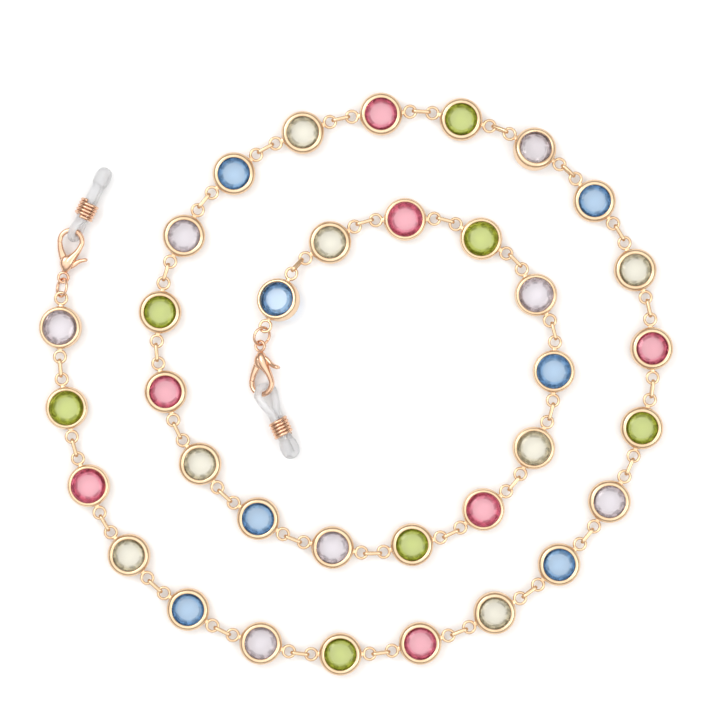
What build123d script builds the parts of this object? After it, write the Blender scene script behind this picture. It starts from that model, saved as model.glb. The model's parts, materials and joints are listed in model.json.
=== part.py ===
from build123d import *
import math
import os

# Eyeglasses chain: 35 round bezel-set crystals joined by small oval links, with a jump ring, a
# lobster clasp and a silicone temple loop with a wire coil at each end. The chain lies flat in a
# spiral, from the outer end (station 1, upper left) to the inner end (station 35, centre).
# Millimetres. X right, Y up the page, Z away from the surface that the chain rests on.

# ---- chain ----------------------------------------------------------------------------------
STATIONS = 35
COLOURS = ["lavender", "green", "pink", "cream", "blue"]
ROOT_STATION = 18
PIECEWISE_STATIONS = 5          # one colour repeat with its settings, stones and links apart

BEZEL_RADIUS = 5.0
BEZEL_HALF_HEIGHT = 1.9
BEZEL_SHOULDER = 0.8            # rounding between the outer wall and each face
BEZEL_MOUTH_RADIUS = 3.65       # rim opening over the stone
GROOVE_RADIUS = 4.3             # inside of the channel that holds the stone's girdle
GROOVE_HALF_HEIGHT = 0.8
LIP_HALF_HEIGHT = 1.5

STONE_SIDES = 16
STONE_GIRDLE_RADIUS = 4.1
STONE_GIRDLE_HALF_HEIGHT = 0.3
STONE_TABLE_RADIUS = 2.85
STONE_HALF_HEIGHT = 1.5

EYELET_WIRE_RADIUS = 0.35
EYELET_RING_RADIUS = 1.35       # centre of the hole to the middle of the wire
HOOK_OFFSET = 8.2               # bezel centre to the wire that the next piece hooks round
NECK_WIDTH = 1.1

LINK_SPAN = 2.6                 # hooked wire to hooked wire
LINK_ARC_RADIUS = 0.72
LINK_WIDE = 0.9                 # section across the link
LINK_THICK = 0.48               # section towards the hooked wire

# ---- lay: tangent arcs (radius, sweep in degrees), counter-clockwise ------------------------
START_X = -69.06
START_Y = 21.45
START_HEADING = -96.0
LAY_ARCS = [(98, 27), (62, 65), (75, 76), (58, 106), (66, 32), (51, 133), (45, 103), (35, 200)]
# stations that lie rolled about the chain, in degrees
ROLLS = {1: 4, 6: -3, 9: 3, 13: 4, 16: 15, 21: -3, 25: 3, 30: -3, 35: 18}

# ---- jump rings -----------------------------------------------------------------------------
RING_RADIUS = 2.1
RING_WIRE_RADIUS = 0.34
RING_NEAR = 0.9                 # eyelet wire to the near side of the ring
RING_FAR = 2 * RING_RADIUS - RING_NEAR

# ---- lobster clasps (eye at the origin, hook along +X, thumb knob on +Y) --------------------
EYE_RADIUS = 1.15
EYE_WIRE_RADIUS = 0.35
EYE_NEAR = 0.85                 # ring wire to the near side of the clasp's eye
CLASP_HALF_WIDTH = 3.25
CLASP_WALL = 1.3
CLASP_BOWL_X = 8.7              # centre of the round end
CLASP_HALF_HEIGHT = 0.7         # of the claw
CLASP_ROUNDING = 0.45           # of the claw's edges
BASE_HALF_HEIGHT = 1.35         # of the boss that holds the lever
PIVOT_X = 3.6
PIN_RADIUS = 0.4
PIN_CLEARANCE = 0.05
LEVER_HALF_HEIGHT = 0.55
SLOT_HALF_HEIGHT = 0.68
HUB_RADIUS = 0.95               # of the lever, round the pin
RECESS_RADIUS = 0.82            # hollow under the lever for the spring
RECESS_CEILING = -0.18
KNOB_HALF_HEIGHT = 0.75
GATE_SWING_RADIUS = 5.1         # the gate ends in an arc about the pivot
CLAW_START_X = 6.4
CLAW_WIRE_RADIUS = CLASP_HALF_WIDTH - CLASP_WALL / 2
CLAW_WIRE_X = CLASP_BOWL_X + CLAW_WIRE_RADIUS
GATE_GAP = 0.08
SPRING_WIRE_RADIUS = 0.07
SPRING_RADIUS = 0.58
SPRING_PITCH = 0.17
SPRING_HEIGHT = 0.3
SPRING_FOOT = -0.56
THROUGH = 5                     # reach of a cut that passes right through a piece

# ---- silicone temple loops (hooked wire at the origin, tongue along +X) ---------------------
STRAND_RADIUS = 0.84            # half the width of one strand
STRAND_HALF_HEIGHT = 0.82
STRAND_ROUNDING = 0.65
STRAND_GAP = 0.3                # claw to strand
STRAND_X = -(CLASP_WALL / 2 + STRAND_RADIUS + STRAND_GAP)
ROD_RADIUS = 1.55               # both strands side by side, where the coil slides
ROD_END_X = 11.4
TONGUE_RADIUS = 2.2
TONGUE_HALF_HEIGHT = 1.6
TIP_X = 16.55
SLIT_HALF_WIDTH = 0.12

# ---- wire coils -----------------------------------------------------------------------------
COIL_WIRE_RADIUS = 0.37
COIL_RADIUS = 2.02
COIL_PITCH = 0.8
COIL_TURNS = 5

# ---- how each end lies ----------------------------------------------------------------------
LOOP_DROP_RUN = 7.0             # run over which a loop drops by its loop_drop
# Heading of the clasp and of the loop, rolls about their own length, the
# heights of the clasp's eye and of its claw, the loop's width and the coil's place on it.
END_LAYS = {
    "outer": {
        "ring_roll": -55, "clasp_heading": 77.5, "clasp_roll": 180, "eye_height": 1.9,
        "claw_height": 3.15, "loop_heading": 63.5, "loop_roll": 72, "loop_drop": 0.3,
        "strand_offset": 2.15, "loop_end_x": 2.9, "coil_x": 5.5,
    },
    "inner": {
        "ring_roll": -36, "clasp_heading": -87.5, "clasp_roll": 25, "eye_height": 2.45,
        "claw_height": 2.45, "loop_heading": -66, "loop_roll": -40, "loop_drop": 0.0,
        "strand_offset": 2.45, "loop_end_x": 5.0, "coil_x": 8.75,
    },
}


# ---- the lay --------------------------------------------------------------------------------
def lay_point(distance):
    """Point of the lay at a distance from its start."""
    x = START_X
    y = START_Y
    heading = math.radians(START_HEADING)
    for radius, sweep_angle in LAY_ARCS:
        run = min(distance, radius * math.radians(sweep_angle))
        turned = heading + run / radius
        x += radius * (math.sin(turned) - math.sin(heading))
        y -= radius * (math.cos(turned) - math.cos(heading))
        heading = turned
        distance -= run
    return x, y


def step_along(distance, chord):
    """Distance along the lay at which a straight chord from the given distance ends."""
    start_x, start_y = lay_point(distance)
    low = distance
    high = distance + 1.3 * chord
    for _ in range(40):
        middle = (low + high) / 2
        x, y = lay_point(middle)
        if math.hypot(x - start_x, y - start_y) < chord:
            low = middle
        else:
            high = middle
    return low


def resting_height(roll_degrees):
    """Height of a bezel's centre when it rests on its rounded edge."""
    roll = math.radians(abs(roll_degrees))
    shoulder_radius = BEZEL_RADIUS - BEZEL_SHOULDER
    shoulder_height = BEZEL_HALF_HEIGHT - BEZEL_SHOULDER
    return shoulder_radius * math.sin(roll) + shoulder_height * math.cos(roll) + BEZEL_SHOULDER


def chain_frame(origin, ahead, roll):
    """Frame with X ahead along the chain and Z up, rolled about X."""
    ahead = ahead.normalized()
    side = Vector(0, 0, 1).cross(ahead).normalized()
    return Plane(origin=origin, x_dir=ahead, z_dir=ahead.cross(side)).location * Rot(roll, 0, 0)


def point_in(frame, x, y=0, z=0):
    """Place of a point that is given in a frame."""
    return (frame * Pos(x, y, z)).position


def station_frames():
    """Frame of each bezel's centre, station 1 first."""
    frames = []
    distance = 0
    for station in range(1, STATIONS + 1):
        height = resting_height(ROLLS.get(station, 0))
        start_x, start_y = lay_point(distance)
        distance = step_along(distance, 2 * HOOK_OFFSET)
        end_x, end_y = lay_point(distance)
        ahead = Vector(end_x - start_x, end_y - start_y, 0)
        centre = Vector((start_x + end_x) / 2, (start_y + end_y) / 2, height)
        frames.append(chain_frame(centre, ahead, ROLLS.get(station, 0)))
        rise = resting_height(ROLLS.get(station + 1, 0)) - height
        distance = step_along(distance, math.sqrt(LINK_SPAN ** 2 - rise ** 2))
    return frames


def link_frame(frames, station):
    """Frame of the link that leaves a station: origin at the hooked wire, X to the next one,
    rolled half way between its neighbours."""
    start = point_in(frames[station - 1], HOOK_OFFSET)
    end = point_in(frames[station], -HOOK_OFFSET)
    roll = (ROLLS.get(station, 0) + ROLLS.get(station + 1, 0)) / 2
    return chain_frame(start, end - start, roll)


def heading_vector(degrees):
    """Level unit vector at a heading."""
    return Vector(math.cos(math.radians(degrees)), math.sin(math.radians(degrees)), 0)


def end_frames(frames, end):
    """Frames of the jump ring (its centre), clasp (its eye) and silicone loop (its hook), with
    the wires that they turn on."""
    lay = END_LAYS[end]
    if end == "outer":
        hook = point_in(frames[0], -HOOK_OFFSET)
        pull = hook - frames[0].position
    else:
        hook = point_in(frames[-1], HOOK_OFFSET)
        pull = hook - frames[-1].position
    along = heading_vector(lay["clasp_heading"])
    pull = pull.normalized() + along
    level_pull = Vector(pull.X, pull.Y, 0).normalized()
    drop = lay["eye_height"] - hook.Z
    ring_ahead = level_pull * math.sqrt(RING_FAR ** 2 - drop ** 2) + Vector(0, 0, drop)
    ring = chain_frame(hook + ring_ahead.normalized() * (RING_RADIUS - RING_NEAR), ring_ahead,
                       lay["ring_roll"])
    far_wire = hook + ring_ahead
    climb = (lay["claw_height"] - lay["eye_height"]) / CLAW_WIRE_X
    clasp_ahead = along * math.sqrt(1 - climb ** 2) + Vector(0, 0, climb)
    clasp = chain_frame(far_wire + clasp_ahead * (EYE_RADIUS - EYE_NEAR), clasp_ahead,
                        lay["clasp_roll"])
    loop_heading = heading_vector(lay["loop_heading"])
    bowl = point_in(clasp, CLASP_BOWL_X)
    side = loop_heading.dot(point_in(clasp, CLASP_BOWL_X, 1) - bowl)
    turn = math.atan2(side, loop_heading.dot(clasp_ahead))
    claw = point_in(clasp, CLASP_BOWL_X + CLAW_WIRE_RADIUS * math.cos(turn),
                    CLAW_WIRE_RADIUS * math.sin(turn))
    claw_tangent = point_in(clasp, -math.sin(turn), math.cos(turn)) - clasp.position
    loop_ahead = loop_heading * LOOP_DROP_RUN - Vector(0, 0, lay["loop_drop"])
    loop = chain_frame(claw, loop_ahead, lay["loop_roll"])
    return {"hook": hook, "far_wire": far_wire, "ring": ring, "clasp": clasp, "loop": loop,
            "claw_tangent": claw_tangent}


# ---- pieces of a station, in the bezel's frame ----------------------------------------------
def make_setting():
    """Channel setting: a rounded hoop with a lip over each face, and an eyelet at each side."""
    shoulder_r = BEZEL_RADIUS - BEZEL_SHOULDER
    shoulder_z = BEZEL_HALF_HEIGHT - BEZEL_SHOULDER
    corner = BEZEL_SHOULDER * math.sqrt(0.5)
    lip_edge = 0.15
    outer = [
        Line((BEZEL_MOUTH_RADIUS + lip_edge, BEZEL_HALF_HEIGHT), (shoulder_r, BEZEL_HALF_HEIGHT)),
        ThreePointArc((shoulder_r, BEZEL_HALF_HEIGHT), (shoulder_r + corner, shoulder_z + corner),
                      (BEZEL_RADIUS, shoulder_z)),
        Line((BEZEL_RADIUS, shoulder_z), (BEZEL_RADIUS, -shoulder_z)),
        ThreePointArc((BEZEL_RADIUS, -shoulder_z), (shoulder_r + corner, -shoulder_z - corner),
                      (shoulder_r, -BEZEL_HALF_HEIGHT)),
        Line((shoulder_r, -BEZEL_HALF_HEIGHT), (BEZEL_MOUTH_RADIUS + lip_edge, -BEZEL_HALF_HEIGHT)),
    ]
    inner = Polyline(
        (BEZEL_MOUTH_RADIUS + lip_edge, -BEZEL_HALF_HEIGHT),
        (BEZEL_MOUTH_RADIUS, -BEZEL_HALF_HEIGHT + lip_edge),
        (BEZEL_MOUTH_RADIUS, -LIP_HALF_HEIGHT),
        (GROOVE_RADIUS, -GROOVE_HALF_HEIGHT),
        (GROOVE_RADIUS, GROOVE_HALF_HEIGHT),
        (BEZEL_MOUTH_RADIUS, LIP_HALF_HEIGHT),
        (BEZEL_MOUTH_RADIUS, BEZEL_HALF_HEIGHT - lip_edge),
        (BEZEL_MOUTH_RADIUS + lip_edge, BEZEL_HALF_HEIGHT),
    )
    setting = revolve(Plane.XZ * make_face(outer + inner.edges()), Axis.Z)
    eyelet_x = HOOK_OFFSET - EYELET_RING_RADIUS
    neck_start = BEZEL_RADIUS - 0.25
    neck_end = eyelet_x - EYELET_RING_RADIUS
    for side in (-1, 1):
        setting += Pos(side * eyelet_x, 0, 0) * Torus(EYELET_RING_RADIUS, EYELET_WIRE_RADIUS)
        neck = Box(neck_end - neck_start, NECK_WIDTH, 2 * EYELET_WIRE_RADIUS)
        setting += Pos(side * (neck_start + neck_end) / 2, 0, 0) * neck
    return setting.solid()


def make_stone():
    """Double-sided cut stone: a table on each face, facets down to the girdle."""
    girdle = RegularPolygon(STONE_GIRDLE_RADIUS, STONE_SIDES)
    table = RegularPolygon(STONE_TABLE_RADIUS, STONE_SIDES)
    stone = extrude(girdle, STONE_GIRDLE_HALF_HEIGHT, both=True)
    lower = Pos(0, 0, STONE_GIRDLE_HALF_HEIGHT) * girdle
    upper = Pos(0, 0, STONE_HALF_HEIGHT) * table
    crown = loft([lower, upper])
    stone += crown
    stone += Rot(180, 0, 0) * crown
    return stone.solid()


def make_link():
    """Oval link, standing on edge; it starts at the wire that it hooks round."""
    outline = SlotCenterToCenter(LINK_SPAN, 2 * LINK_ARC_RADIUS)
    path = (Plane.XZ * Pos(LINK_SPAN / 2, 0, 0) * outline).wire()
    start = Plane(origin=path @ 0, x_dir=(0, 1, 0), z_dir=path % 0)
    return sweep(start * Ellipse(LINK_WIDE / 2, LINK_THICK / 2), path=path).solid()


# ---- pieces of an end -----------------------------------------------------------------------
def make_jump_ring():
    """Round wire ring."""
    return Torus(RING_RADIUS, RING_WIRE_RADIUS)


def clasp_outline():
    """Pear-shaped outline of the closed clasp."""
    base = Pos(2.2, 0) * Circle(1.1)
    bowl = Pos(CLASP_BOWL_X, 0) * Circle(CLASP_HALF_WIDTH)
    return make_hull(base.edges() + bowl.edges())


def clasp_opening():
    """Pear-shaped opening that the clasp closes on."""
    throat = Pos(6.0, 0) * Circle(0.35)
    bowl = Pos(CLASP_BOWL_X, 0) * Circle(CLASP_HALF_WIDTH - CLASP_WALL)
    return make_hull(throat.edges() + bowl.edges())


def gate_side():
    """Area beside the opening where the gate lies instead of the clasp's wall."""
    beside_opening = make_face(Polyline((4.6, -4), (4.6, -0.05), (9, -0.05), (9, -4), close=True))
    return beside_opening & (Pos(PIVOT_X, 0) * Circle(GATE_SWING_RADIUS))


def make_claw(plan):
    """Rounded claw: the clasp's plan beyond the boss."""
    beyond_boss = Pos(CLAW_START_X + 5, 0) * Rectangle(10, 10)
    claw = extrude(plan & beyond_boss, CLASP_HALF_HEIGHT, both=True)
    faces = claw.faces().sort_by(Axis.Z)
    long_edges = faces[0].edges() + faces[-1].edges()
    rounded = long_edges.filter_by(lambda edge: edge.center().X > CLAW_START_X + 0.1)
    return fillet(rounded, CLASP_ROUNDING)


def make_clasp_body():
    """Eye, boss and claw of a lobster clasp, with a slot and a pin hole for the lever."""
    side_view = Plane.XZ * make_face(Polyline(
        (1.0, -0.45), (2.3, -BASE_HALF_HEIGHT), (4.6, -BASE_HALF_HEIGHT),
        (CLAW_START_X, -CLASP_HALF_HEIGHT), (CLAW_START_X, CLASP_HALF_HEIGHT),
        (4.6, BASE_HALF_HEIGHT), (2.3, BASE_HALF_HEIGHT), (1.0, 0.45), close=True))
    plan = clasp_outline() - clasp_opening() - gate_side()
    body = extrude(plan, THROUGH, both=True) & extrude(side_view, THROUGH, both=True)
    body += make_claw(plan)
    slot = make_face(Polyline(
        (1.7, -0.3), (1.7, 3.5), (5.9, 5.5), (5.5, 2.0), (5.8, 0.6), (5.8, -3.0), (4.1, -3.0),
        (3.6, -1.1), (2.6, -1.0), close=True))
    body -= extrude(slot, SLOT_HALF_HEIGHT, both=True)
    body -= Pos(PIVOT_X, 0, 0) * Cylinder(PIN_RADIUS, 2 * THROUGH)
    body += Torus(EYE_RADIUS, EYE_WIRE_RADIUS)
    return body.solid()


def make_clasp_lever():
    """Gate and thumb knob in one piece, turning on the pin; closed as it lies."""
    hub = Pos(PIVOT_X, 0) * Circle(HUB_RADIUS)
    gate_root = Pos(5.45, -1.3) * Circle(0.45)
    blade = make_face(Polyline(
        (2.9, 0.5), (2.35, 1.25), (3.3, 1.9), (4.3, 2.9), (4.75, 4.2), (5.3, 4.4), (5.35, 3.3),
        (4.95, 2.3), (4.4, 0.4), close=True))
    web = make_hull(hub.edges() + gate_root.edges()) + hub + blade
    lever = extrude(web, LEVER_HALF_HEIGHT, both=True)
    gate_area = make_face(Polyline((5.05, -4), (5.05, -0.8), (9, -0.8), (9, -4), close=True))
    gate_area &= Pos(PIVOT_X, 0) * Circle(GATE_SWING_RADIUS - GATE_GAP)
    lever += extrude((clasp_outline() - clasp_opening()) & gate_area, CLASP_HALF_HEIGHT, both=True)
    knob_root = Pos(4.75, 3.75) * Circle(0.25)
    knob_tip = Pos(5.15, 4.35) * Circle(0.3)
    knob = make_hull(knob_root.edges() + knob_tip.edges())
    lever += extrude(knob, KNOB_HALF_HEIGHT, both=True)
    lever -= Pos(PIVOT_X, 0, 0) * Cylinder(PIN_RADIUS + PIN_CLEARANCE, 2 * THROUGH)
    recess = Cylinder(RECESS_RADIUS, 1, align=(Align.CENTER, Align.CENTER, Align.MAX))
    lever -= Pos(PIVOT_X, 0, RECESS_CEILING) * recess
    return lever.solid()


def make_clasp_pin():
    """Rivet through the boss."""
    return Pos(PIVOT_X, 0, 0) * Cylinder(PIN_RADIUS, 2 * BASE_HALF_HEIGHT)


def make_clasp_spring():
    """Small return spring round the pin, in a recess of the lever."""
    path = Helix(pitch=SPRING_PITCH, height=SPRING_HEIGHT, radius=SPRING_RADIUS)
    section = Plane(origin=path @ 0, z_dir=path % 0) * Circle(SPRING_WIRE_RADIUS)
    return (Pos(PIVOT_X, 0, SPRING_FOOT) * sweep(section, path=path)).solid()


def make_temple_loop(end):
    """Soft loop: an open end round the claw, two strands side by side, and a rounded tongue."""
    lay = END_LAYS[end]
    offset = lay["strand_offset"]
    bow_x = STRAND_X + offset
    bow = Pos(bow_x, 0) * Circle(offset + STRAND_RADIUS)
    rod_start = Pos(lay["loop_end_x"], 0) * Circle(ROD_RADIUS - 0.1)
    hollow_bow = Pos(bow_x, 0) * Circle(offset - STRAND_RADIUS)
    hollow_end = Pos(lay["loop_end_x"] - 0.6, 0) * Circle(0.15)
    eye = make_hull(bow.edges() + rod_start.edges())
    eye -= make_hull(hollow_bow.edges() + hollow_end.edges())
    loop = extrude(eye, STRAND_HALF_HEIGHT, both=True)
    rims = loop.edges().group_by(Axis.Z)
    loop = fillet(rims[0] + rims[-1], STRAND_ROUNDING)
    rod_start_x = lay["loop_end_x"] - 0.2
    rod = Rot(0, 90, 0) * Cylinder(ROD_RADIUS, ROD_END_X - rod_start_x)
    loop += Pos((rod_start_x + ROD_END_X) / 2, 0, 0) * rod
    neck = Pos(ROD_END_X, 0) * Circle(ROD_RADIUS - 0.15)
    tip = Pos(TIP_X - TONGUE_RADIUS, 0) * Circle(TONGUE_RADIUS)
    tongue = extrude(make_hull(neck.edges() + tip.edges()), TONGUE_HALF_HEIGHT, both=True)
    tongue = tongue & (Pos(ROD_END_X + 5, 0, 0) * Box(10, 9, 9))
    side = Plane.XZ * make_face(Polyline(
        (ROD_END_X, -1.3), (13.3, -TONGUE_HALF_HEIGHT), (15.3, -1.3), (TIP_X, -0.5),
        (TIP_X, 0.5), (15.3, 1.3), (13.3, TONGUE_HALF_HEIGHT), (ROD_END_X, 1.3), close=True))
    loop += tongue & extrude(side, THROUGH, both=True)
    slit_start = lay["loop_end_x"] - 1.2
    slit_end = TIP_X - 1.8
    slit = Box(slit_end - slit_start, 2 * SLIT_HALF_WIDTH, 2 * THROUGH)
    loop -= Pos((slit_start + slit_end) / 2, 0, 0) * slit
    return loop.solid()


def make_coil(end):
    """Close-wound wire coil round both strands."""
    path = Helix(pitch=COIL_PITCH, height=COIL_PITCH * COIL_TURNS, radius=COIL_RADIUS)
    section = Plane(origin=path @ 0, z_dir=path % 0) * Circle(COIL_WIRE_RADIUS)
    coil = Pos(0, 0, -COIL_PITCH * COIL_TURNS / 2) * sweep(section, path=path)
    return (Pos(END_LAYS[end]["coil_x"], 0, 0) * Rot(0, 90, 0) * coil).solid()


# ---- assembly -------------------------------------------------------------------------------
def station_name(station):
    """Name of a station with its crystal's colour."""
    return f"station_{station:02d}_{COLOURS[(station - 1) % len(COLOURS)]}"


def station_nodes(frames):
    """Nodes of the chain: setting, stone and outgoing link of each station."""
    setting = make_setting()
    stone = make_stone()
    link = make_link()
    nodes = {}
    for station in range(1, STATIONS + 1):
        frame = frames[station - 1]
        pieces = {"setting": frame * setting, "stone": frame * stone}
        if station < STATIONS:
            pieces["link"] = link_frame(frames, station) * link
        name = station_name(station)
        if station <= PIECEWISE_STATIONS:
            for piece, solid in pieces.items():
                nodes[f"{name}_{piece}"] = solid
        else:
            nodes[name] = Compound(children=list(pieces.values()))
    return nodes


def end_nodes(frames, end):
    """Nodes of one end: jump ring, clasp with its works, silicone loop and coil."""
    places = end_frames(frames, end)
    ring = places["ring"]
    clasp = places["clasp"]
    loop = places["loop"]
    return {
        f"{end}_jump_ring": ring * make_jump_ring(),
        f"{end}_clasp_body": clasp * make_clasp_body(),
        f"{end}_clasp_lever": clasp * make_clasp_lever(),
        f"{end}_clasp_pin": clasp * make_clasp_pin(),
        f"{end}_clasp_spring": clasp * make_clasp_spring(),
        f"{end}_temple_loop": loop * make_temple_loop(end),
        f"{end}_coil": loop * make_coil(end),
    }


def main():
    """Write every node."""
    os.makedirs("parts", exist_ok=True)
    frames = station_frames()
    nodes = station_nodes(frames)
    for end in END_LAYS:
        nodes.update(end_nodes(frames, end))
    for name, shape in nodes.items():
        shape.label = name
        export_step(shape, f"parts/{name}.step")


if __name__ == "__main__":
    main()
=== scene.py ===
import json
import math

import bmesh
import bpy
from mathutils import Matrix, Vector


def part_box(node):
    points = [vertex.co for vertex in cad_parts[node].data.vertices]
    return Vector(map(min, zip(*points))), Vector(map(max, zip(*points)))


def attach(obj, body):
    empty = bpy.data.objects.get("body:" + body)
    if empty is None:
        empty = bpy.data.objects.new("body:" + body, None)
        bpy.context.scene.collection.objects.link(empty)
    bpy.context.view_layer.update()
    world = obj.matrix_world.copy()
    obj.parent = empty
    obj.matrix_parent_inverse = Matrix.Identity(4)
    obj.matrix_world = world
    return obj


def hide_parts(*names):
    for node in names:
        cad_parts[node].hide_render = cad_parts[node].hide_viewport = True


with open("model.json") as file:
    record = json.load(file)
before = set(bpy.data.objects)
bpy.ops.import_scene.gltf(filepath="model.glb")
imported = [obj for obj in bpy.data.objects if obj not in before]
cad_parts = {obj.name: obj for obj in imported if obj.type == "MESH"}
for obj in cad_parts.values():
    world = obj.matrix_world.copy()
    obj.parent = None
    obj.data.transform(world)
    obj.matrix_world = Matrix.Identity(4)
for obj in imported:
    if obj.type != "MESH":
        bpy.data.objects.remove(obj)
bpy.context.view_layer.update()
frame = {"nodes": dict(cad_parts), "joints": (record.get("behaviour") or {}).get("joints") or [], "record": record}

# Everything below is sized in millimetres and scaled once, when a mesh is made.
MM = 0.001
COLOURS = ["lavender", "green", "pink", "cream", "blue"]
ENDS = ["outer", "inner"]
STATIONS = 35
PIECEWISE_STATIONS = 5
THIN_LIP_STATIONS = {1, 2, 3, 28, 29, 30, 31, 32, 33, 35}

# Bezel, eyelets and link
BEZEL_RADIUS = 5.0
BEZEL_HALF_HEIGHT = 1.9
CHANNEL_FLOOR_RADIUS = 4.32
WIDE_LIP = {"mouth": 3.72, "crest": 4.1}
THIN_LIP = {"mouth": 4.0, "crest": 4.28}
HOOK_OFFSET = 8.2  # from the bezel's centre to the hinge on an eyelet's wire
EYELET_RING_RADIUS = 1.35
EYELET_WIRE_RADIUS = 0.35
LINK_SPAN = 2.6  # between the hinges at a link's two ends
LINK_ARC_RADIUS = 0.72
LINK_HALF_WIDTH = 0.44
LINK_HALF_THICKNESS = 0.27
STONE_GIRDLE_RADIUS = 4.15
STONE_TABLE_RADIUS = 2.5
STONE_HALF_HEIGHT = 1.5
STONE_SIDES = 28
TABLE_EDGE = 0.58  # where the painted pale table ends, as a part of the girdle's radius
FACETS_START = 0.64  # where the facets' painted deeper shade and painted glints are full

# Ends
RING_RADIUS = 2.1
RING_WIRE_RADIUS = 0.34
RING_NEAR = 0.9  # from the ring's circle in to its hinge on the eyelet
RING_CUT_ANGLE = 60  # degrees
RING_HALF_GAP_ANGLE = 0.4  # degrees
EYE_RADIUS = 1.15
EYE_WIRE_RADIUS = 0.35
EYE_HALF_HEIGHT = 0.42
EYE_NEAR = 0.85  # from the eye's circle in to its hinge on the jump ring
BOWL_X = 8.7
BOWL_RADIUS = 2.6
CLAW_HALF_WALL = 0.65
STRAND_RADIUS = 0.84
STRAND_GAP = 0.3  # between the silicone and the claw
TIP_X = 16.55
TIP_RADIUS = 1.9
ROD_END_X = 11.4
ROD_Y = 0.79
ROD_HALF_WIDTH = 0.74
ROD_HALF_HEIGHT = 1.2
SLIT_LAP = 0.32  # how far each half of the tongue reaches past the slit's middle
COIL_RADIUS = 2.02
COIL_WIRE_RADIUS = 0.37
COIL_PITCH = 0.8
COIL_TURNS = 5
LOOPS = {
    "outer": {"strand_offset": 2.15, "loop_end_x": 2.9},
    "inner": {"strand_offset": 2.45, "loop_end_x": 5.0},
}

# View and studio, in metres
VIEW_WIDTH = 0.1692
VIEW_CENTRE = (0.00094, 0.00565)
CAMERA_HEIGHT = 0.8
SENSOR_WIDTH = 36  # mm
LIGHT_SIZE = 0.4
FLOOR_HALF_SIZE = 900  # mm
FLOOR_DROP = 0.00005
SKY_STRENGTH = 1.18

UP = Vector((0, 0, 1))

joints = {joint["name"]: joint for joint in frame["joints"]}
mounts = {mount["name"]: mount for mount in frame["record"]["mounts"]}


# ---- places, read from the frame -------------------------------------------------------------
def box_centre(node):
    """Middle of a CAD node's box."""
    low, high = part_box(node)
    return (Vector(low) + Vector(high)) / 2


def matrix_of(origin, ahead, side):
    """Matrix with X ahead, Y to the side and Z up from both."""
    up = ahead.cross(side)
    rows = [(ahead[i], side[i], up[i], origin[i]) for i in range(3)]
    return Matrix(rows + [(0, 0, 0, 1)])


def station_colour(station):
    """Tint of a station's stone."""
    return COLOURS[(station - 1) % len(COLOURS)]


def station_name(station):
    """Body of a station."""
    return f"station_{station:02d}_{station_colour(station)}"


def station_nodes(station):
    """CAD nodes of a station."""
    name = station_name(station)
    if station > PIECEWISE_STATIONS:
        return [name]
    return [f"{name}_{piece}" for piece in ("setting", "stone", "link")]


def station_matrix(station):
    """Frame of a bezel's centre, from the hinge across its first eyelet."""
    if station == 1:
        joint = joints["outer_ring_swing"]
    else:
        joint = joints[f"junction_{station - 1:02d}_{station:02d}"]
    hinge = Vector(joint["pos_m"])
    side = Vector(joint["axis"]).normalized()
    ahead = side.cross(UP).normalized()
    if ahead.dot(box_centre(station_nodes(station)[0]) - hinge) < 0:
        ahead.negate()
        side.negate()
    return matrix_of(hinge + ahead * HOOK_OFFSET * MM, ahead, side)


def link_matrix(station):
    """Frame of the link that leaves a station, at the wire that it hooks round, rolled half way
    between its neighbours."""
    start = stations[station - 1] @ Vector((HOOK_OFFSET * MM, 0, 0))
    end = stations[station] @ Vector((-HOOK_OFFSET * MM, 0, 0))
    ahead = (end - start).normalized()
    up = stations[station - 1].col[2].to_3d() + stations[station].col[2].to_3d()
    return matrix_of(start, ahead, up.cross(ahead).normalized())


def ring_matrix(end):
    """Frame of a jump ring's centre, with X from the eyelet to the clasp."""
    hook = Vector(joints[f"{end}_ring_swing"]["pos_m"])
    far_wire = joints[f"{end}_clasp_swing"]
    ahead = (Vector(far_wire["pos_m"]) - hook).normalized()
    return matrix_of(hook + ahead * (RING_RADIUS - RING_NEAR) * MM, ahead, Vector(far_wire["axis"]))


def clasp_matrix(end):
    """Frame of a clasp's eye, with X towards the claw and Z along the lever's pin."""
    far_wire = Vector(joints[f"{end}_clasp_swing"]["pos_m"])
    pin = joints[f"{end}_lever_pivot"]
    ahead = (Vector(pin["pos_m"]) - far_wire).normalized()
    side = Vector(pin["axis"]).cross(ahead).normalized()
    return matrix_of(far_wire + ahead * (EYE_RADIUS - EYE_NEAR) * MM, ahead, side)


def loop_matrix(end):
    """Frame of a silicone loop's hooked end, with X towards its tip and Z through its slit."""
    hook = Vector(joints[f"{end}_loop_swing"]["pos_m"])
    ahead = Vector(joints[f"{end}_coil_slide"]["axis"]).normalized()
    through = Vector(mounts[f"{end}_temple_slit"]["axis"])
    return matrix_of(hook, ahead, through.cross(ahead).normalized())


stations = [station_matrix(station) for station in range(1, STATIONS + 1)]


# ---- mesh making -----------------------------------------------------------------------------
def smooth_path(points, steps):
    """Points along a smooth curve through rows of numbers, steps to a span."""
    rows = [points[0]] + list(points) + [points[-1]]
    smooth = []
    for before, start, end, after in zip(rows, rows[1:], rows[2:], rows[3:]):
        for step in range(steps):
            t = step / steps
            smooth.append([
                0.5 * (2 * b + (c - a) * t + (2 * a - 5 * b + 4 * c - d) * t ** 2
                       + (3 * b - a - 3 * c + d) * t ** 3)
                for a, b, c, d in zip(before, start, end, after)
            ])
    smooth.append(list(points[-1]))
    return smooth


def add_rings(bm, rings, closed):
    """Skin over rings of points; closed joins the last ring to the first, else both are capped."""
    loops = [[bm.verts.new(point) for point in ring] for ring in rings]
    pairs = list(zip(loops, loops[1:]))
    if closed:
        pairs.append((loops[-1], loops[0]))
    for first, second in pairs:
        for i in range(len(first)):
            j = (i + 1) % len(first)
            bm.faces.new((first[i], first[j], second[j], second[i]))
    if not closed:
        bm.faces.new(list(reversed(loops[0])))
        bm.faces.new(loops[-1])


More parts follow.
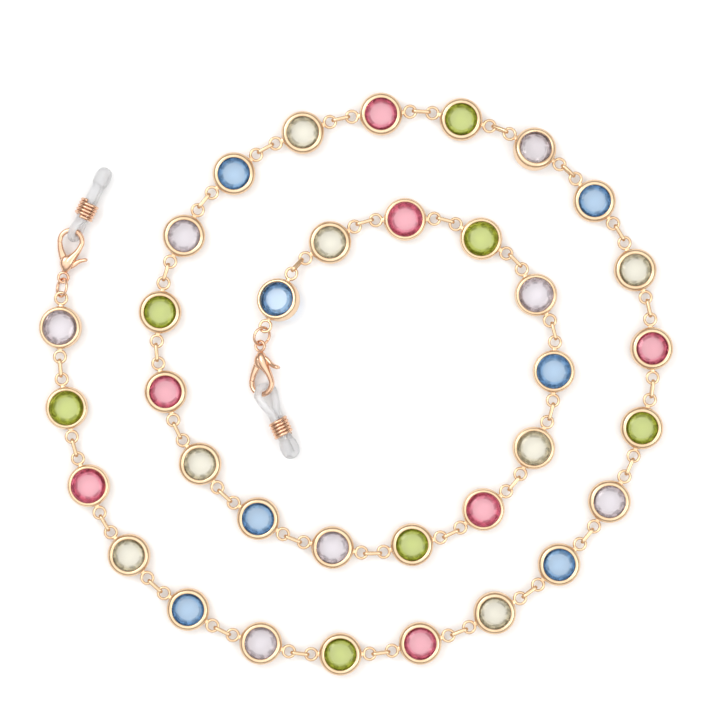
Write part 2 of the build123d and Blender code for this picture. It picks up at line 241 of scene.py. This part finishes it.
def add_swept(bm, path, closed=False, segments=20, squareness=2.0):
    """Tube along rows of (point, up, half width, half height); width lies across the path."""
    rings = []
    count = len(path)
    for i, (point, up, half_width, half_height) in enumerate(path):
        before = path[(i - 1) % count if closed else max(i - 1, 0)][0]
        after = path[(i + 1) % count if closed else min(i + 1, count - 1)][0]
        side = up.cross(after - before).normalized()
        ring = []
        for step in range(segments):
            angle = 2 * math.pi * step / segments
            c = math.cos(angle)
            s = math.sin(angle)
            wide = math.copysign(abs(c) ** (2 / squareness), c) * half_width
            high = math.copysign(abs(s) ** (2 / squareness), s) * half_height
            ring.append(point + side * wide + up * high)
        rings.append(ring)
    add_rings(bm, rings, closed)


def circle_path(centre, radius, half_width, half_height, steps):
    """Closed level circle to sweep along."""
    path = []
    for step in range(steps):
        angle = 2 * math.pi * step / steps
        point = centre + Vector((radius * math.cos(angle), radius * math.sin(angle), 0))
        path.append((point, UP, half_width, half_height))
    return path


def flat_path(rows, steps=6):
    """Smooth path in the XY plane from rows of x, y, half width, half height."""
    return [(Vector((x, y, 0)), UP, wide, high) for x, y, wide, high in smooth_path(rows, steps)]


def finished_mesh(bm, name, material, flat=False):
    """Mesh in metres from geometry in millimetres."""
    bmesh.ops.recalc_face_normals(bm, faces=bm.faces)
    bmesh.ops.scale(bm, vec=Vector((MM, MM, MM)), verts=bm.verts)
    mesh = bpy.data.meshes.new(name)
    bm.to_mesh(mesh)
    bm.free()
    for polygon in mesh.polygons:
        polygon.use_smooth = not flat
    mesh.materials.append(material)
    return mesh


def place(name, mesh, matrix, body):
    """Object for a mesh, riding on a body."""
    piece = bpy.data.objects.new(name, mesh)
    bpy.context.scene.collection.objects.link(piece)
    piece.matrix_world = matrix
    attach(piece, body)
    return piece


# ---- materials -------------------------------------------------------------------------------
def set_inputs(node, values):
    """Values for a node's sockets."""
    for socket, value in values.items():
        node.inputs[socket].default_value = value


def add_node(tree, kind, **values):
    """Node with values for its sockets; an underscore stands for a space in a socket's name."""
    node = tree.nodes.new(kind)
    set_inputs(node, {socket.replace("_", " "): value for socket, value in values.items()})
    return node


def noise(tree, scale, detail=3.0):
    """Noise in the piece's own coordinates."""
    place_node = tree.nodes.new("ShaderNodeTexCoord")
    texture = add_node(tree, "ShaderNodeTexNoise", Scale=scale, Detail=detail)
    tree.links.new(place_node.outputs["Object"], texture.inputs["Vector"])
    return texture.outputs["Fac"]


def ramp(tree, factor, stops):
    """Colour ramp from (position, colour) stops."""
    node = tree.nodes.new("ShaderNodeValToRGB")
    while len(node.color_ramp.elements) < len(stops):
        node.color_ramp.elements.new(0.5)
    for element, (position, colour) in zip(node.color_ramp.elements, stops):
        element.position = position
        element.color = (*colour, 1)
    tree.links.new(factor, node.inputs["Fac"])
    return node.outputs["Color"]


def spread(tree, factor, low, high):
    """Number between low and high from a factor."""
    node = tree.nodes.new("ShaderNodeMapRange")
    set_inputs(node, {"To Min": low, "To Max": high})
    tree.links.new(factor, node.inputs["Value"])
    return node.outputs["Result"]


def bump(tree, height, depth, strength):
    """Normal from a height, with its depth in metres."""
    node = tree.nodes.new("ShaderNodeBump")
    set_inputs(node, {"Strength": strength, "Distance": depth})
    tree.links.new(height, node.inputs["Height"])
    return node.outputs["Normal"]


def principled(name, **values):
    """New material, its node tree and its shader."""
    material = bpy.data.materials.new(name)
    material.use_nodes = True
    shader = material.node_tree.nodes["Principled BSDF"]
    set_inputs(shader, {socket.replace("_", " "): value for socket, value in values.items()})
    return material, material.node_tree, shader


def plated(name, deep, pale, rough_low, rough_high):
    """Plated metal: slightly uneven tone, soft polish and a faint tumbled surface."""
    material, tree, shader = principled(name, Metallic=1.0)
    tone = noise(tree, scale=260.0)
    tree.links.new(ramp(tree, tone, [(0.3, deep), (0.7, pale)]), shader.inputs["Base Color"])
    grain = noise(tree, scale=1800.0, detail=4.0)
    tree.links.new(spread(tree, grain, rough_low, rough_high), shader.inputs["Roughness"])
    tree.links.new(bump(tree, grain, depth=0.00002, strength=0.25), shader.inputs["Normal"])
    return material


def crystal(name, table, facet, edge):
    """Tinted glass with painted light and shade: a table painted pale, a ring of facets painted in deeper shade
    with painted glints from facet to facet, lit through to the floor.
    """
    material, tree, shader = principled(
        name, Roughness=0.03, IOR=1.52, Transmission_Weight=0.82, Coat_Weight=0.3)
    coordinates = tree.nodes.new("ShaderNodeTexCoord")
    flatten = tree.nodes.new("ShaderNodeVectorMath")
    flatten.operation = "MULTIPLY"
    flatten.inputs[1].default_value = (1, 1, 0)
    length = tree.nodes.new("ShaderNodeVectorMath")
    length.operation = "LENGTH"
    tree.links.new(coordinates.outputs["Object"], flatten.inputs[0])
    tree.links.new(flatten.outputs["Vector"], length.inputs[0])
    radial = tree.nodes.new("ShaderNodeMapRange")
    set_inputs(radial, {"From Min": 0.0, "From Max": STONE_GIRDLE_RADIUS * MM})
    tree.links.new(length.outputs["Value"], radial.inputs["Value"])
    # Painted light and shade: the table is painted pale, as if lit through, and the ring of facets is painted
    # deeper, darkest at the girdle's edge
    depth = ramp(tree, radial.outputs["Result"],
                 [(0.0, table), (TABLE_EDGE, table), (FACETS_START, facet), (1.0, edge)])
    # Painted glints: noise on each flat facet's normal paints some facets brighter and others darker
    facets = add_node(tree, "ShaderNodeTexNoise", Scale=4.0, Detail=2.0)
    tree.links.new(coordinates.outputs["Normal"], facets.inputs["Vector"])
    painted_facet_glint = ramp(tree, facets.outputs["Fac"], [
        (0.42, (0.5, 0.5, 0.5)), (0.49, (0.85, 0.85, 0.85)), (0.54, (1, 1, 1))])
    # Mask that keeps the painted glints on the ring of facets and off the table
    ring = ramp(tree, radial.outputs["Result"], [
        (TABLE_EDGE, (0, 0, 0)), (FACETS_START, (1, 1, 1))])
    shade = tree.nodes.new("ShaderNodeMix")
    shade.data_type = "RGBA"
    shade.blend_type = "MULTIPLY"
    tree.links.new(ring, shade.inputs["Factor"])
    tree.links.new(depth, shade.inputs["A"])
    tree.links.new(painted_facet_glint, shade.inputs["B"])
    colour = shade.outputs["Result"]
    tree.links.new(colour, shader.inputs["Base Color"])
    lit = tree.nodes.new("ShaderNodeBsdfTransparent")
    tree.links.new(colour, lit.inputs["Color"])
    rays = tree.nodes.new("ShaderNodeLightPath")
    mix = tree.nodes.new("ShaderNodeMixShader")
    tree.links.new(rays.outputs["Is Shadow Ray"], mix.inputs["Fac"])
    tree.links.new(shader.outputs["BSDF"], mix.inputs[1])
    tree.links.new(lit.outputs["BSDF"], mix.inputs[2])
    tree.links.new(mix.outputs["Shader"], tree.nodes["Material Output"].inputs["Surface"])
    return material


def silicone(name):
    """Clear milky silicone with faint cloudiness and a satin skin."""
    material, tree, shader = principled(
        name, IOR=1.41, Transmission_Weight=0.6, Subsurface_Weight=0.4, Subsurface_Scale=0.001,
        Subsurface_Radius=(1, 1, 1))
    cloud = noise(tree, scale=350.0)
    tone = ramp(tree, cloud, [(0.3, (0.88, 0.88, 0.89)), (0.7, (0.94, 0.94, 0.95))])
    tree.links.new(tone, shader.inputs["Base Color"])
    satin = spread(tree, noise(tree, scale=1500.0), low=0.28, high=0.42)
    tree.links.new(satin, shader.inputs["Roughness"])
    tree.links.new(bump(tree, cloud, depth=0.00004, strength=0.3), shader.inputs["Normal"])
    return material


def floor_material():
    """White paper-like ground."""
    material, tree, shader = principled("white_ground", Roughness=0.85)
    fibres = noise(tree, scale=40.0)
    tone = ramp(tree, fibres, [(0.3, (0.93, 0.93, 0.93)), (0.7, (0.95, 0.95, 0.95))])
    tree.links.new(tone, shader.inputs["Base Color"])
    return material


# deep and pale tone, then lowest and highest roughness
gold = plated("pale_gold", (0.73, 0.50, 0.31), (0.84, 0.62, 0.41), 0.18, 0.3)
rose_gold = plated("rose_gold", (0.74, 0.45, 0.30), (0.84, 0.56, 0.39), 0.15, 0.28)
steel = plated("spring_steel", (0.48, 0.48, 0.50), (0.62, 0.62, 0.64), 0.25, 0.4)
clear_silicone = silicone("clear_silicone")

# table, facet and edge colour of each crystal: one tint, painted paler at the table and painted in deeper shade in
# the facets and at the edge
CRYSTAL_TINTS_AND_PAINTED_SHADE = {
    "lavender": ((0.88, 0.86, 0.89), (0.92, 0.87, 0.90), (0.80, 0.70, 0.74)),
    "green": ((0.76, 0.81, 0.44), (0.66, 0.72, 0.16), (0.50, 0.52, 0.08)),
    "pink": ((0.93, 0.66, 0.71), (0.95, 0.38, 0.50), (0.80, 0.18, 0.30)),
    "cream": ((0.92, 0.91, 0.85), (0.88, 0.84, 0.70), (0.74, 0.67, 0.46)),
    "blue": ((0.66, 0.78, 0.89), (0.38, 0.62, 0.88), (0.18, 0.38, 0.70)),
}
crystals = {colour: crystal(f"crystal_{colour}", *tints) for colour, tints in CRYSTAL_TINTS_AND_PAINTED_SHADE.items()}


# ---- pieces of the chain ---------------------------------------------------------------------
def lip(mouth, crest):
    """Half of the channel's section: groove, lip and outer wall, as (radius, height) points."""
    groove = [(CHANNEL_FLOOR_RADIUS, 0.0), (CHANNEL_FLOOR_RADIUS, 0.8), (mouth + 0.25, 1.3)]
    inner_edge = [(mouth + 0.05, 1.52), (mouth, 1.64), (mouth + 0.03, 1.76), (mouth + 0.12, 1.86)]
    outer_edge = [(crest, BEZEL_HALF_HEIGHT), (crest + 0.24, 1.86), (crest + 0.42, 1.74),
                  (4.82, 1.5), (4.94, 1.2)]
    wall = [(BEZEL_RADIUS, 0.85), (BEZEL_RADIUS, 0.4)]
    return groove + inner_edge + outer_edge + wall


def setting_mesh(name, mouth, crest):
    """Channel setting with its two eyelets."""
    bm = bmesh.new()
    segments = 96
    half = lip(mouth, crest)
    lower_half = [(radius, -height) for radius, height in reversed(half[1:])]
    profile = half + [(BEZEL_RADIUS, 0.0)] + lower_half
    rings = []
    for step in range(segments):
        angle = 2 * math.pi * step / segments
        rings.append([Vector((r * math.cos(angle), r * math.sin(angle), z)) for r, z in profile])
    add_rings(bm, rings, closed=True)
    eyelet_x = HOOK_OFFSET - EYELET_RING_RADIUS
    for side in (-1, 1):
        centre = Vector((side * eyelet_x, 0, 0))
        ring = circle_path(centre, EYELET_RING_RADIUS, EYELET_WIRE_RADIUS, EYELET_WIRE_RADIUS,
                           steps=40)
        add_swept(bm, ring, closed=True, segments=16)
        neck = [(side * 4.7, 0, 0.75, 0.42), (side * 5.0, 0, 0.64, 0.38),
                (side * 5.25, 0, 0.55, 0.34), (side * 5.6, 0, 0.6, 0.3)]
        add_swept(bm, flat_path(neck, steps=3), squareness=3.5)
    return finished_mesh(bm, name, gold)


def stone_mesh(colour):
    """Two-faced cut stone: table, two rows of crown facets, girdle."""
    bm = bmesh.new()
    # radius, height and turn of each tier, with the turn in facets
    tiers = [(STONE_TABLE_RADIUS, STONE_HALF_HEIGHT, 0.0), (3.1, 1.22, 0.5), (3.65, 0.8, 0.0),
             (STONE_GIRDLE_RADIUS, 0.3, 0.5)]
    girdles = []
    for face in (1, -1):
        loops = []
        for radius, height, shift in tiers:
            loop = []
            for i in range(STONE_SIDES):
                angle = 2 * math.pi * (i + shift) / STONE_SIDES
                point = (radius * math.cos(angle), radius * math.sin(angle), face * height)
                loop.append(bm.verts.new(point))
            loops.append(loop)
        bm.faces.new(loops[0])
        for upper, lower, upper_is_turned in zip(loops, loops[1:], (False, True, False)):
            for i in range(STONE_SIDES):
                j = (i + 1) % STONE_SIDES
                if upper_is_turned:
                    bm.faces.new((upper[i], lower[i], lower[j]))
                    bm.faces.new((upper[i], upper[j], lower[j]))
                else:
                    bm.faces.new((upper[i], upper[j], lower[i]))
                    bm.faces.new((upper[j], lower[i], lower[j]))
        girdles.append(loops[-1])
    for i in range(STONE_SIDES):
        j = (i + 1) % STONE_SIDES
        bm.faces.new((girdles[0][i], girdles[0][j], girdles[1][j], girdles[1][i]))
    return finished_mesh(bm, f"stone_{colour}", crystals[colour], flat=True)


def link_mesh():
    """Oval link of flattened wire, on edge."""
    bm = bmesh.new()
    path = []
    arc_steps = 12
    across = Vector((0, 1, 0))
    for centre_x, start in ((LINK_SPAN, -90), (0, 90)):
        for step in range(arc_steps + 1):
            angle = math.radians(start + 180 * step / arc_steps)
            point = Vector((centre_x + LINK_ARC_RADIUS * math.cos(angle), 0,
                            LINK_ARC_RADIUS * math.sin(angle)))
            path.append((point, across, LINK_HALF_THICKNESS, LINK_HALF_WIDTH))
    add_swept(bm, path, closed=True, segments=16)
    return finished_mesh(bm, "link", gold)


def build_chain():
    """Every station's setting, stone and link."""
    wide = setting_mesh("setting_wide_lip", **WIDE_LIP)
    thin = setting_mesh("setting_thin_lip", **THIN_LIP)
    link = link_mesh()
    stones = {colour: stone_mesh(colour) for colour in COLOURS}
    for station in range(1, STATIONS + 1):
        colour = station_colour(station)
        body = station_name(station)
        nodes = station_nodes(station)
        matrix = stations[station - 1]
        setting = thin if station in THIN_LIP_STATIONS else wide
        piece = place(f"setting_{station:02d}", setting, matrix, body)
        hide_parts(nodes[0])
        stone_name = f"stone_{station:02d}_{colour}"
        piece = place(stone_name, stones[colour], matrix, body)
        if len(nodes) > 1:
            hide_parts(nodes[1])
        if station < STATIONS:
            piece = place(f"link_{station:02d}", link, link_matrix(station), body)
            if len(nodes) > 1:
                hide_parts(nodes[2])


# ---- pieces of the ends ----------------------------------------------------------------------
def ring_mesh():
    """Jump ring with the narrow gap between its wire ends."""
    bm = bmesh.new()
    steps = 60
    cut = math.radians(RING_HALF_GAP_ANGLE)
    path = []
    for step in range(steps + 1):
        angle = math.radians(RING_CUT_ANGLE) + cut + (2 * math.pi - 2 * cut) * step / steps
        point = Vector((RING_RADIUS * math.cos(angle), RING_RADIUS * math.sin(angle), 0))
        path.append((point, UP, RING_WIRE_RADIUS, RING_WIRE_RADIUS))
    add_swept(bm, path)
    return finished_mesh(bm, "jump_ring", rose_gold)


def bowl_rows(start, end, wide, high, steps):
    """Rows round the clasp's bowl between two angles."""
    rows = []
    for step in range(steps + 1):
        angle = math.radians(start + (end - start) * step / steps)
        x = BOWL_X + BOWL_RADIUS * math.cos(angle)
        rows.append((x, BOWL_RADIUS * math.sin(angle), wide, high))
    return rows


def clasp_body_mesh():
    """Cast eye, boss and claw; their rows are x, y, half width, half height."""
    bm = bmesh.new()
    eye = circle_path(Vector((0, 0, 0)), EYE_RADIUS, EYE_WIRE_RADIUS, EYE_HALF_HEIGHT, steps=40)
    add_swept(bm, eye, closed=True)
    claw = [(1.25, 0.02, 0.45, 0.42), (1.7, 0.05, 0.85, 0.8), (2.5, 0.15, 1.15, 1.15),
            (3.6, 0.4, 1.32, 1.3), (4.7, 0.9, 1.12, 1.2), (5.8, 1.55, 0.86, 1.0),
            (6.9, 2.12, 0.7, 0.86)]
    claw += bowl_rows(start=95, end=-100, wide=0.62, high=0.7, steps=9)
    claw.append((8.05, -2.52, 0.6, 0.68))
    add_swept(bm, flat_path(claw), segments=24, squareness=2.3)
    boss = [(1.9, -0.2, 0.6, 0.7), (2.7, -0.32, 1.05, 1.15), (3.6, -0.3, 1.3, 1.3),
            (4.5, -0.1, 1.15, 1.2), (5.1, 0.1, 0.6, 0.9), (5.35, 0.2, 0.2, 0.5)]
    add_swept(bm, flat_path(boss), segments=24, squareness=2.3)
    return finished_mesh(bm, "clasp_body", rose_gold)


def clasp_lever_mesh():
    """Gate and thumb knob in one piece; their rows are x, y, half width, half height."""
    bm = bmesh.new()
    gate = [(3.4, -0.2, 0.6, 0.5), (4.2, -0.72, 0.92, 0.56), (4.9, -1.18, 0.92, 0.66),
            (5.7, -1.64, 0.82, 0.7), (6.6, -2.06, 0.72, 0.7), (7.4, -2.35, 0.64, 0.69),
            (8.0, -2.5, 0.6, 0.68)]
    add_swept(bm, flat_path(gate), squareness=2.3)
    trigger = [(2.75, 0.6, 0.5, 0.5), (3.0, 1.25, 0.62, 0.5), (3.6, 1.95, 0.62, 0.54),
               (4.25, 2.6, 0.54, 0.6), (4.72, 3.25, 0.5, 0.72), (5.0, 3.9, 0.48, 0.8),
               (5.2, 4.4, 0.42, 0.78), (5.3, 4.68, 0.2, 0.6)]
    add_swept(bm, flat_path(trigger), squareness=2.6)
    return finished_mesh(bm, "clasp_lever", rose_gold)


def strand_rows(end):
    """One side of a silicone loop, from the bow's middle to the tongue's tip, as rows of x, y,
    half width, half height."""
    offset = LOOPS[end]["strand_offset"]
    loop_end = LOOPS[end]["loop_end_x"]
    bow_x = offset - CLAW_HALF_WALL - STRAND_RADIUS - STRAND_GAP
    rows = []
    for angle in (180, 150, 120, 95):
        turn = math.radians(angle)
        rows.append((bow_x + offset * math.cos(turn), offset * math.sin(turn), STRAND_RADIUS, 0.83))
    span = loop_end - bow_x
    rows.append((bow_x + 0.55 * span, 0.5 * (offset + 0.85), 0.82, 0.95))
    rows.append((loop_end, 0.82, 0.76, 1.15))
    middle = (loop_end + ROD_END_X) / 2
    rows.append((middle, ROD_Y, ROD_HALF_WIDTH, ROD_HALF_HEIGHT))
    rows.append((ROD_END_X, ROD_Y, ROD_HALF_WIDTH, ROD_HALF_HEIGHT))
    for x, edge, high in ((12.2, 1.82, 1.4), (12.9, 2.04, 1.5), (13.8, 2.13, 1.54)):
        rows.append((x, (edge - SLIT_LAP) / 2, (edge + SLIT_LAP) / 2, high))
    slit_end = TIP_X - TIP_RADIUS
    tip = ((90, 2.12, 1.48), (60, 2.06, 1.42), (30, 1.97, 1.34), (0, TIP_RADIUS, 1.3))
    for angle, reach, high in tip:
        turn = math.radians(angle)
        middle = (reach - SLIT_LAP) / 2
        rows.append((slit_end + middle * math.cos(turn), middle * math.sin(turn),
                     (reach + SLIT_LAP) / 2, high))
    return rows


def temple_loop_mesh(end):
    """Silicone loop: one closed strand, open at the bow, whose halves lap along the slit."""
    bm = bmesh.new()
    half = smooth_path(strand_rows(end), steps=7)
    other = [(x, -y, wide, high) for x, y, wide, high in reversed(half[1:-1])]
    path = [(Vector((x, y, 0)), UP, wide, high) for x, y, wide, high in half + other]
    add_swept(bm, path, closed=True, segments=22, squareness=2.4)
    return finished_mesh(bm, f"{end}_temple_loop", clear_silicone)


def coil_mesh():
    """Close-wound wire coil along X."""
    bm = bmesh.new()
    steps = 36
    path = []
    for step in range(COIL_TURNS * steps + 1):
        turns = step / steps
        angle = 2 * math.pi * turns
        out = Vector((0, math.cos(angle), math.sin(angle)))
        point = out * COIL_RADIUS + Vector((COIL_PITCH * (turns - COIL_TURNS / 2), 0, 0))
        path.append((point, out, COIL_WIRE_RADIUS, COIL_WIRE_RADIUS))
    add_swept(bm, path, segments=14)
    return finished_mesh(bm, "coil", rose_gold)


def build_end(end, meshes):
    """Jump ring, clasp, silicone loop and coil of one end."""
    clasp = clasp_matrix(end)
    loop = loop_matrix(end)
    coil_centre = box_centre(f"{end}_coil")
    coil_x = (coil_centre - loop.translation).dot(loop.col[0].to_3d()) / MM
    coil = loop @ Matrix.Translation((coil_x * MM, 0, 0))
    pieces = [
        ("jump_ring", meshes["ring"], ring_matrix(end), "jump_ring", "rose_gold"),
        ("clasp_body", meshes["clasp_body"], clasp, "clasp", "rose_gold"),
        ("clasp_lever", meshes["clasp_lever"], clasp, "lever", "rose_gold"),
        ("temple_loop", temple_loop_mesh(end), loop, "loop", "silicone"),
        ("coil", meshes["coil"], coil, "coil", "rose_gold"),
    ]
    for name, mesh, matrix, body, slot in pieces:
        piece = place(f"{end}_{name}_piece", mesh, matrix, f"{end}_{body}")
        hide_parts(f"{end}_{name}")
    frame["nodes"][f"{end}_clasp_pin"].data.materials[0] = rose_gold
    frame["nodes"][f"{end}_clasp_spring"].data.materials[0] = steel


# ---- studio ----------------------------------------------------------------------------------
def add_area_light(name, place_at, power):
    """Square soft light aimed at the middle of the chain."""
    data = bpy.data.lights.new(name, "AREA")
    data.shape = "SQUARE"
    data.size = LIGHT_SIZE
    data.energy = power
    light = bpy.data.objects.new(name, data)
    bpy.context.scene.collection.objects.link(light)
    light.location = place_at
    light.rotation_euler = (-Vector(place_at)).to_track_quat("-Z", "Y").to_euler()


def build_studio():
    """Pale floor, soft lights and a camera straight above."""
    bm = bmesh.new()
    bmesh.ops.create_grid(bm, x_segments=24, y_segments=24, size=FLOOR_HALF_SIZE)
    floor = bpy.data.objects.new("floor", finished_mesh(bm, "floor", floor_material()))
    bpy.context.scene.collection.objects.link(floor)
    floor.location = (0, 0, -FLOOR_DROP)
    add_area_light("key", (-0.4, 0.3, 0.7), power=1.5)
    add_area_light("fill", (0.5, -0.2, 0.6), power=0.9)
    world = bpy.data.worlds.new("studio")
    bpy.context.scene.world = world
    world.use_nodes = True
    tree = world.node_tree
    background = tree.nodes["Background"]
    direction = tree.nodes.new("ShaderNodeTexCoord")
    parts = tree.nodes.new("ShaderNodeSeparateXYZ")
    tree.links.new(direction.outputs["Generated"], parts.inputs["Vector"])
    sky = ramp(tree, parts.outputs["Z"], [
        (0.0, (0.5, 0.5, 0.5)), (0.35, (0.3, 0.29, 0.28)), (0.6, (0.7, 0.69, 0.68)),
        (0.85, (1.3, 1.3, 1.3)), (1.0, (1.3, 1.3, 1.3))])
    tree.links.new(sky, background.inputs["Color"])
    background.inputs["Strength"].default_value = SKY_STRENGTH
    camera_data = bpy.data.cameras.new("camera")
    camera_data.sensor_width = SENSOR_WIDTH
    camera_data.lens = SENSOR_WIDTH * CAMERA_HEIGHT / VIEW_WIDTH
    camera_data.clip_end = 10
    camera = bpy.data.objects.new("camera", camera_data)
    bpy.context.scene.collection.objects.link(camera)
    camera.location = (*VIEW_CENTRE, CAMERA_HEIGHT)
    bpy.context.scene.camera = camera
    bpy.context.scene.view_settings.view_transform = "Standard"


build_studio()
build_chain()
shared = {
    "ring": ring_mesh(),
    "clasp_body": clasp_body_mesh(),
    "clasp_lever": clasp_lever_mesh(),
    "coil": coil_mesh(),
}
for end in ENDS:
    build_end(end, shared)
